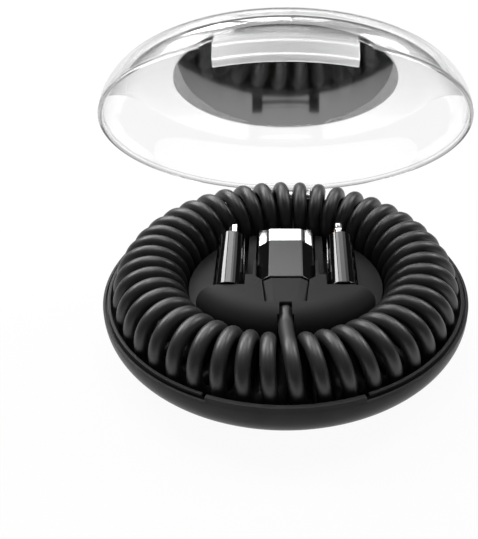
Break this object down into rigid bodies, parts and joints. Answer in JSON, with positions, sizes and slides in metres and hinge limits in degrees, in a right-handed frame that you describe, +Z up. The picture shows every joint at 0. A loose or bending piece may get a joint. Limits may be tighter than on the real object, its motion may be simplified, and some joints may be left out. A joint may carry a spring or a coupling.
{
  "type": "coiled charging cable in case",
  "caption": "Coiled USB-C charging cable stored in a round case with a clear hinged lid, a centre holder for its plugs and two slip-on adapters.",
  "frame": {"origin": "centre of the case's underside, on the surface it stands on", "axes": "+Z up, -Y towards the latch at the front, +Y towards the hinge, +X to the right seen from the front"},
  "size_m": [0.075, 0.0797, 0.07],
  "materials": {
    "black_case": "satin black",
    "grey_holder": "matt, fine grain",
    "pin_steel": "drawn",
    "clear_plastic": "clear polished",
    "gloss_black": "mirror-smooth black",
    "cable_jacket": "satin",
    "plug_gloss": "polished black",
    "boot_rubber": "matt",
    "plug_steel": "nickel plated",
    "insulator": "moulded",
    "contact_gold": "gold plated",
    "board_green": "solder mask"
  },
  "bodies": {
    "base": {"base_shell": "black_case", "hinge_pin": "pin_steel", "plug_holder": "grey_holder", "cable_coil": "cable_jacket", "cable_lead_upper": "cable_jacket", "cable_lead_lower": "cable_jacket", "usb_c_housing": "plug_gloss", "usb_c_boot": "boot_rubber", "usb_c_shell": "plug_steel", "usb_c_insulator": "insulator", "usb_c_contacts": "contact_gold", "usb_c_board": "board_green", "usb_a_housing": "plug_gloss", "usb_a_boot": "boot_rubber", "usb_a_shell": "plug_steel", "usb_a_tongue": "insulator", "usb_a_contacts": "contact_gold", "micro_housing": "plug_gloss", "micro_tip": "plug_steel", "micro_tongue": "insulator", "micro_contacts": "contact_gold", "micro_socket_shell": "plug_steel", "micro_socket_tongue": "insulator", "blade_housing": "plug_gloss", "blade_tip": "plug_steel", "blade_contacts": "contact_gold", "blade_socket_shell": "plug_steel", "blade_socket_tongue": "insulator"},
    "lid": {"lid_dome": "clear_plastic", "lid_disc": "gloss_black"}
  },
  "joints": [
    {"name": "lid_hinge", "type": "hinge", "parent": "base", "child": "lid", "pos_m": [0, 0.039, 0.0087], "axis": [-1, 0, 0], "range_deg": [-49.8, 50.2]}
  ]
}
